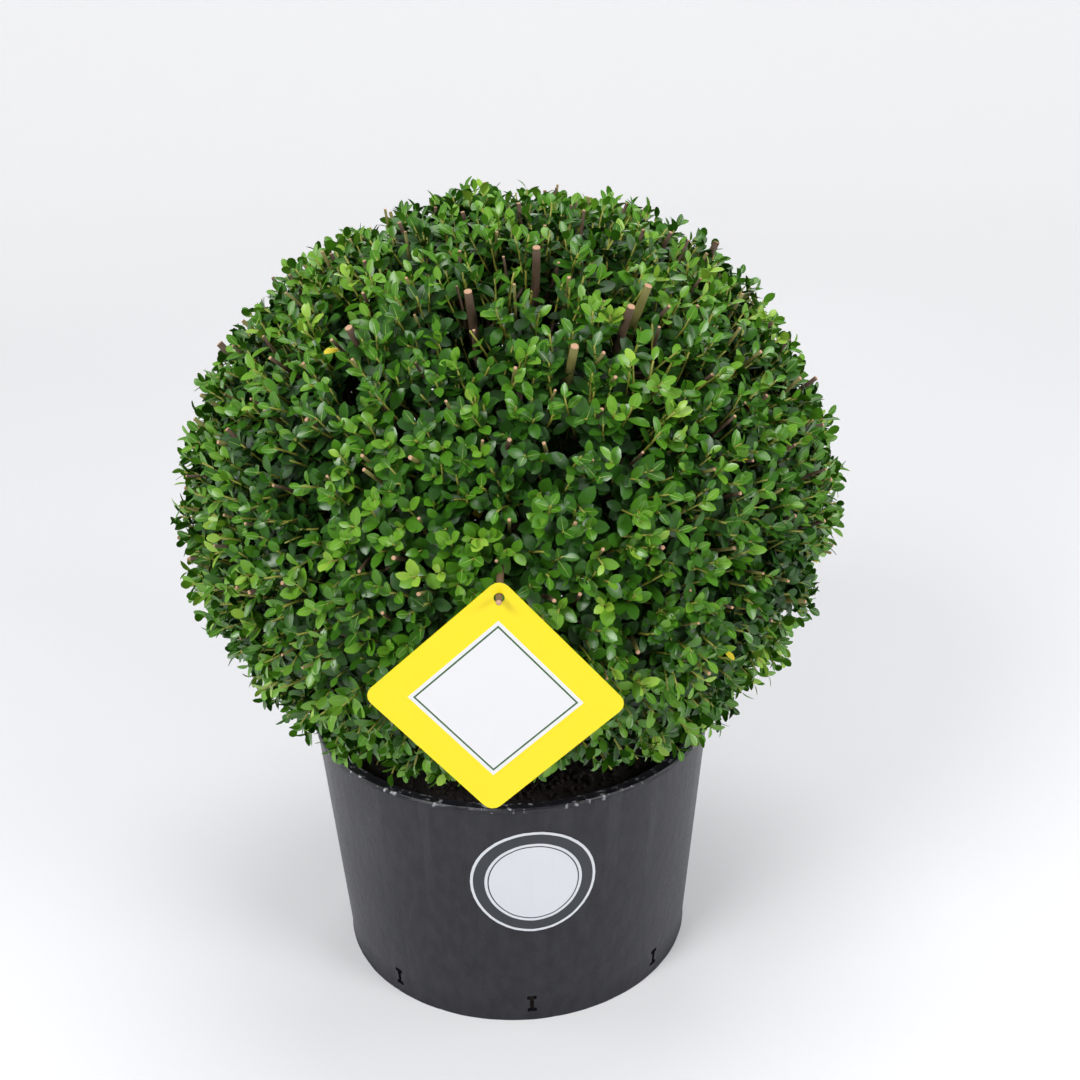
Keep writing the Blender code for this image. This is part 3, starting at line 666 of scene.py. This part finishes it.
icoFaces = [f for f in map(icoFace, itertools.combinations(range(len(ico)), 3)) if f]
reach = crumb["rim"] * np.sqrt(spread(crumb["middle"], 1, crumb["count"]))
turn = spread(0, 2 * math.pi, crumb["count"])
bedHeight = crumb["level"] + spread(0, crumb["heap"], crumb["count"])
bed = np.stack([reach * np.cos(turn), reach * np.sin(turn), bedHeight], axis=1)
crumbSize = crumb["size"] * spread(*crumb["sizes"], crumb["count"], 1, 1) ** crumb["fines"]
crumbSize = crumbSize * spread(*crumb["stretch"], crumb["count"], 1, 3)
crumbVerts = bed[:, None] + ico[None] * crumbSize * spread(*crumb["uneven"], crumb["count"], len(ico), 1)
soilStops = [(0.3, (0.005, 0.004, 0.003)), (0.72, (0.026, 0.016, 0.010))]
soilGloss = (0.85, 1.0)
crumbMaterial = noisyMaterial("crumbs", soilStops, scale=60, stretch=(1, 1, 1), height=0.6, rough=soilGloss)
soilMaterial = noisyMaterial("soil", soilStops, scale=140, stretch=(1, 1, 1), height=1.0, rough=soilGloss)
keepPiece(tiledPiece("soilCrumbs", crumbVerts, icoFaces, crumbMaterial), "potting_soil")
dressNode("soil", soilMaterial)

# Pot: streaked satin plastic, with a chipped mould edge at the rim
potShape = {"height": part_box("pot")[1].z, "rim": 0.200, "foot": 0.180, "wall": 0.003, "floor": 0.004,
            "lip": 0.015, "drop": 0.003, "hem": 0.007, "mould": 0.0012, "sides": 288}
rimWear = {"band": 0.0050, "full": 0.4, "chips": 170.0, "stops": [(0.60, 0.0), (0.68, 1.0)],
           "colour": (0.42, 0.42, 0.45)}
ragged = {"side": 0.0003, "foot": 0.0009, "waves": (3, 7, 12, 19, 31, 47), "low": 0.4, "nicks": 14,
          "nickDepth": 1.8, "nickWidth": 0.012, "footRows": (1, 2), "rimRows": (7, 8)}  # rows of potProfile
slot = {"count": 8, "turn": math.radians(5), "bottom": 0.010, "top": 0.030, "wide": 0.0045,
        "narrow": 0.0019, "ledge": 0.0045, "deep": 0.012}
potMaterial = noisyMaterial("potPlastic", [(0.30, (0.010, 0.010, 0.014)), (0.75, (0.022, 0.022, 0.030))],
                            scale=110, stretch=(1, 1, 0.45), height=0.55, rough=(0.27, 0.42),
                            Specular_IOR_Level=0.42)
tree = potMaterial.node_tree
coordinates = tree.nodes.new("ShaderNodeTexCoord")
split = tree.nodes.new("ShaderNodeSeparateXYZ")
chips = addNode(tree, "ShaderNodeTexNoise", Scale=rimWear["chips"], Detail=2.0)
tree.links.new(coordinates.outputs["Object"], split.inputs[0])
tree.links.new(coordinates.outputs["Object"], chips.inputs["Vector"])
wornFrom = potShape["height"] - rimWear["band"]
wornFully = potShape["height"] - rimWear["band"] * rimWear["full"]
edge = mapRange(tree, split.outputs["Z"], (wornFrom, wornFully), (0, 1))
worn = calculate(tree, "MULTIPLY", ramp(tree, chips.outputs[0], rimWear["stops"]), edge)
paintOver(tree, rimWear["colour"], worn)


def potWall(z):
    high, low = potShape["rim"] - potShape["mould"], potShape["foot"] - potShape["mould"]
    return low + (high - low) * z / potShape["height"]


def potProfile():  # radius and height: up the outside, over the rim, round the hem and down the inside
    foot, rim, topZ, wall = potShape["foot"], potShape["rim"], potShape["height"], potShape["wall"]
    lip = rim - potShape["lip"]
    hem = topZ - potShape["drop"] - potShape["hem"]
    outside = [(foot - 0.0008, 0.0), (foot, 0.0005), (foot, 0.0025)]
    outside += [(potWall(z), z) for z in (0.004, 0.03, 0.13, topZ - 0.006)]
    edge = [(rim, topZ - 0.0045), (rim, topZ - 0.0015), (rim - 0.0015, topZ), (rim - 0.008, topZ - 0.0006)]
    inturned = [(lip + 0.0015, topZ - 0.0025), (lip, topZ - 0.0055), (lip, hem), (lip + 0.0025, hem),
                (lip + 0.0030, topZ - 0.0060)]
    inside = [(potWall(topZ) - wall, topZ - 0.0038), (potWall(0.004) - wall, potShape["floor"])]
    return np.array(outside + edge + inturned + inside)


def raggedEdge(depth):  # an uneven moulded edge with a few nicks
    turn = turnsOf(potShape["sides"])
    waves = sum(np.sin(turn * k + spread(0, anyPhase, 1)) for k in ragged["waves"])
    uneven = waves / len(ragged["waves"]) - ragged["low"]
    for nick in spread(0, 2 * math.pi, ragged["nicks"]):
        uneven -= ragged["nickDepth"] * np.exp(-((turn - nick) / ragged["nickWidth"]) ** 2)
    return depth * uneven


def makePotShell():
    turns = turnsOf(potShape["sides"])
    profile = potProfile()
    radii = profile[:, :1] + np.zeros(potShape["sides"])
    heights = profile[:, 1:] + np.zeros(potShape["sides"])
    for row in ragged["footRows"]:
        radii[row] += raggedEdge(ragged["side"])
    heights[ragged["footRows"][-1]] += raggedEdge(ragged["foot"])
    for row in ragged["rimRows"]:
        radii[row] += raggedEdge(ragged["side"])
    verts = np.stack([radii * np.cos(turns), radii * np.sin(turns), heights], axis=-1).reshape(1, -1, 3)
    return tiledPiece("potShell", verts, tubePolygons(len(profile), potShape["sides"]), potMaterial)


def makeSlotCutters():  # one I-shaped bar for each drain slot
    wide, narrow, low, high = slot["wide"], slot["narrow"], slot["bottom"], slot["top"]
    right = [(wide, low), (wide, low + slot["ledge"]), (narrow, low + slot["ledge"]),
             (narrow, high - slot["ledge"]), (wide, high - slot["ledge"]), (wide, high)]
    left = [(-x, z) for x, z in reversed(right)]
    outline = left[-1:] + right + left[:-1]
    bars = []
    for i in range(slot["count"]):
        turn = -math.pi / 2 + slot["turn"] + 2 * math.pi * i / slot["count"]
        outward = np.array([math.cos(turn), math.sin(turn), 0])
        sideways = np.array([-math.sin(turn), math.cos(turn), 0])
        bars.append([outward * (potShape["foot"] + d) + sideways * x + up * z
                     for d in (-slot["deep"], slot["deep"]) for x, z in outline])
    return tiledPiece("slotCutters", np.array(bars), tubePolygons(2, len(outline)), potMaterial)


potShell = makePotShell()
slotCutters = makeSlotCutters()
bpy.ops.object.select_all(action="DESELECT")
bpy.context.view_layer.objects.active = potShell
cut = potShell.modifiers.new("slots", "BOOLEAN")
cut.object = slotCutters
cut.operation = "DIFFERENCE"
cut.solver = "EXACT"
bpy.ops.object.modifier_apply(modifier=cut.name)
bpy.data.objects.remove(slotCutters, do_unlink=True)
potShell.data.shade_smooth()
potShell.data.set_sharp_from_angle(angle=math.radians(40))
keepPiece(potShell, "pot_plastic", "pot")


# Tag and label, printed with plain shapes only
def flatCoordinates(tree, centre, turnAbout, scale):  # how far across and up, in shares of the scale
    coordinates = tree.nodes.new("ShaderNodeTexCoord")
    mapping = addNode(tree, "ShaderNodeMapping", vector_type="TEXTURE")
    mapping.inputs["Location"].default_value = centre
    mapping.inputs["Rotation"].default_value = turnAbout
    mapping.inputs["Scale"].default_value = (scale, scale, scale)
    split = tree.nodes.new("ShaderNodeSeparateXYZ")
    tree.links.new(coordinates.outputs["Object"], mapping.inputs[0])
    tree.links.new(mapping.outputs[0], split.inputs[0])
    return split.outputs["X"], split.outputs["Z"]


def band(tree, value, low, high):  # a mask that is white between two values
    above = calculate(tree, "GREATER_THAN", value, low)
    return calculate(tree, "MULTIPLY", above, calculate(tree, "LESS_THAN", value, high))


tag = {"half": 0.070, "swing": math.radians(3.3), "border": 0.66, "line": (0.60, 0.62),
       "yellow": (0.95, 0.76, 0.006), "white": (0.80, 0.80, 0.82), "green": (0.035, 0.115, 0.030)}
tagMaterial = newMaterial("tagCard", tag["white"], 0.30)
tree = tagMaterial.node_tree
tagTurn = (0, tag["swing"] + math.pi / 4, 0)
flatX, flatZ = flatCoordinates(tree, (tagLow + tagHigh) / 2, tagTurn, tag["half"])
aside, aloft = calculate(tree, "ABSOLUTE", flatX), calculate(tree, "ABSOLUTE", flatZ)
fromMiddle = calculate(tree, "MAXIMUM", aside, aloft)
paintOver(tree, tag["yellow"], calculate(tree, "GREATER_THAN", fromMiddle, tag["border"]))
paintOver(tree, tag["green"], band(tree, fromMiddle, *tag["line"]))
dressNode("hang_tag", tagMaterial)

label = {"radius": 0.058, "turn": math.radians(6), "out": 0.193, "height": 0.171, "ring": (0.60, 0.91),
         "line": (0.50, 0.53), "paper": (0.70, 0.72, 0.76), "ink": (0.03, 0.035, 0.042)}
labelSide, labelFront = label["out"] * math.sin(label["turn"]), -label["out"] * math.cos(label["turn"])
labelMaterial = newMaterial("labelFilm", label["paper"], 0.34)
tree = labelMaterial.node_tree
labelMiddle = (labelSide, labelFront, label["height"])
flatX, flatZ = flatCoordinates(tree, labelMiddle, (0, 0, label["turn"]), label["radius"])
squares = [calculate(tree, "MULTIPLY", flat, flat) for flat in (flatX, flatZ)]
square = calculate(tree, "ADD", *squares)  # the rings' limits are squares of shares of the radius
paintOver(tree, label["ink"], band(tree, square, *label["ring"]))
paintOver(tree, label["ink"], band(tree, square, *label["line"]))
dressNode("pot_label", labelMaterial)
print("pot, tag and label ready")

# Pale floor that curves up into a backdrop all round, and glows to the camera: a little near the pot,
# lightening the shadows there as painted light, and more far out, so that no horizon shows
floor = {"middle": 0.001, "near": 1.5, "flat": 5.0, "curve": 2.0, "wall": 2.5, "steps": 12,
         "firstStep": 0.12, "sides": 96, "colour": (0.78, 0.78, 0.80), "glowSpan": (0.3, 5.0),
         "glow": (0.12, 0.56)}
floorProfile = [(floor["middle"], 0), (floor["near"], 0), (floor["flat"], 0)]
for angle in np.linspace(floor["firstStep"], math.pi / 2, floor["steps"]):
    out, rise = floor["curve"] * math.sin(angle), floor["curve"] * (1 - math.cos(angle))
    floorProfile.append((floor["flat"] + out, rise))
floorProfile.append((floor["flat"] + floor["curve"], floor["curve"] + floor["wall"]))
floorVerts = np.array([[(r * math.cos(a), r * math.sin(a), z) for a in turnsOf(floor["sides"])]
                       for r, z in floorProfile]).reshape(1, -1, 3)
floorFaces = [tuple(reversed(f)) for f in tubePolygons(len(floorProfile), floor["sides"])[1:-1]]
floorMaterial = newMaterial("floor", floor["colour"], 0.75)
tree = floorMaterial.node_tree
shader = tree.nodes["Principled BSDF"]
coordinates = tree.nodes.new("ShaderNodeTexCoord")
distance = addNode(tree, "ShaderNodeVectorMath", operation="LENGTH")
tree.links.new(coordinates.outputs["Object"], distance.inputs[0])
glow = mapRange(tree, distance.outputs["Value"], floor["glowSpan"], floor["glow"],
                interpolation_type="SMOOTHSTEP")
seen = tree.nodes.new("ShaderNodeLightPath")
glow = calculate(tree, "MULTIPLY", glow, seen.outputs["Is Camera Ray"])
tree.links.new(glow, shader.inputs["Emission Strength"])
shader.inputs["Emission Color"].default_value = (1, 1, 1, 1)
tiledPiece("floor", floorVerts, floorFaces, floorMaterial)

# Soft studio light: each lamp's place, width and power
lights = {"key": ((-1.6, -2.1, 2.4), 1.3, 62), "fill": ((2.2, -1.7, 1.8), 1.3, 40),
          "top": ((0.2, 0.2, 3.2), 1.6, 24), "back": ((0.3, 2.8, 2.2), 1.6, 12),
          "left": ((-2.6, 0.1, 0.9), 1.2, 13), "right": ((2.6, 0.1, 0.9), 1.2, 11)}
studio = {"aim": Vector((0, 0, 0.4)), "sky": (0.95, 0.97, 1.0, 1), "strength": 0.30}
for name, (spot, wide, power) in lights.items():
    lamp = bpy.data.lights.new(name, "AREA")
    lamp.shape = "DISK"
    lamp.size = wide
    lamp.energy = power
    holder = bpy.data.objects.new(name, lamp)
    holder.location = spot
    holder.rotation_euler = (studio["aim"] - Vector(spot)).to_track_quat("-Z", "Y").to_euler()
    bpy.context.scene.collection.objects.link(holder)
world = bpy.data.worlds.new("studio")
world.use_nodes = True
sky = world.node_tree.nodes["Background"]
sky.inputs["Color"].default_value = studio["sky"]
sky.inputs["Strength"].default_value = studio["strength"]
bpy.context.scene.world = world
bpy.context.scene.view_settings.view_transform = "Standard"
print("floor and light ready")
